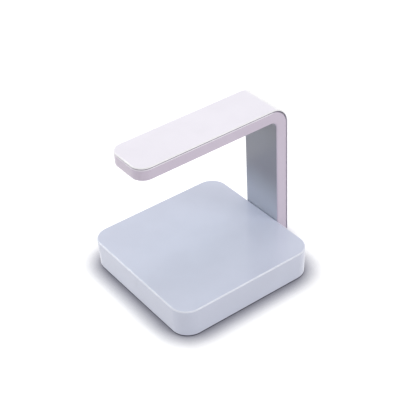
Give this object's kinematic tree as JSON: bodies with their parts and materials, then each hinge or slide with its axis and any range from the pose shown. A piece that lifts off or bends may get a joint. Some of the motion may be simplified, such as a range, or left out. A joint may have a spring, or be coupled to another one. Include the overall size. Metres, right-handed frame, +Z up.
{
  "type": "uv phone sanitizer",
  "caption": "Desktop UV sanitizer: square base deck with a narrow C-shaped lamp arm over it, side push button and rear USB-C inlet.",
  "frame": {"origin": "on the table under the centre of the whole object's box, base and post together", "axes": "+Z up; -Y is the open side, where the lamp arm ends; the post stands at +Y; +X is to the right when facing the open side, and the button is on the -X wall"},
  "size_m": [0.12, 0.1308, 0.1235],
  "materials": {
    "base_white": "satin white moulding, edges polished",
    "arm_white": "satin white moulding with a lilac cast",
    "arm_cover_white": "satin white skin",
    "button_white": "satin, slightly greyer than the base",
    "lamp_diffuser": "frosted, lit blue-green",
    "light_pipe": "clear, lit blue-green",
    "lamp_chip": "cream lamp package",
    "reflector_white": "bright white",
    "circuit_white": "white solder mask",
    "circuit_green": "green solder mask",
    "black_moulding": "moulded black",
    "cream_nylon": "moulded nylon",
    "ferrite": "pressed ferrite",
    "battery_wrap": "laminated foil pouch",
    "bright_steel": "bright plated",
    "screw_steel": "zinc plated",
    "black_rubber": "soft black rubber",
    "lead_red": "silicone sleeve",
    "lead_black": "silicone sleeve"
  },
  "bodies": {
    "sanitizer": {"arm_cover": "arm_cover_white", "arm_frame": "arm_white", "base_bottom_cover": "base_white", "base_shell": "base_white", "battery_lead": "lead_red", "battery_pack": "battery_wrap", "battery_plug": "cream_nylon", "board_screw_1": "screw_steel", "board_screw_2": "screw_steel", "board_screw_3": "screw_steel", "board_screw_4": "screw_steel", "boost_coil": "ferrite", "controller_chip": "black_moulding", "cover_screw_1": "screw_steel", "cover_screw_2": "screw_steel", "cover_screw_3": "screw_steel", "cover_screw_4": "screw_steel", "foot_1": "black_rubber", "foot_2": "black_rubber", "foot_3": "black_rubber", "foot_4": "black_rubber", "harness_grommet": "black_rubber", "harness_header": "cream_nylon", "harness_plug": "cream_nylon", "lamp_harness": "lead_black", "lamp_reflector": "reflector_white", "lamp_window": "lamp_diffuser", "led_board": "circuit_white", "led_board_screw_1": "screw_steel", "led_board_screw_2": "screw_steel", "led_board_screw_3": "screw_steel", "main_board": "circuit_green", "post_screw_1": "screw_steel", "post_screw_2": "screw_steel", "post_screw_3": "screw_steel", "post_screw_4": "screw_steel", "push_switch": "black_moulding", "status_led": "cream_nylon", "status_light_pipe": "light_pipe", "tilt_switch": "bright_steel", "usb_c_socket": "bright_steel", "usb_c_tongue": "black_moulding", "uv_led_1": "lamp_chip", "uv_led_2": "lamp_chip", "uv_led_3": "lamp_chip", "uv_led_4": "lamp_chip", "uv_led_5": "lamp_chip", "uv_led_6": "lamp_chip", "uv_led_7": "lamp_chip", "uv_led_8": "lamp_chip"},
    "button": {"power_button": "button_white", "switch_plunger": "cream_nylon"}
  },
  "joints": [
    {"name": "button_press", "type": "slide", "parent": "sanitizer", "child": "button", "axis": [1, 0, 0], "range_m": [0, 0.0008], "stiffness_N_per_m": 1500, "springref_m": -0.0006}
  ]
}
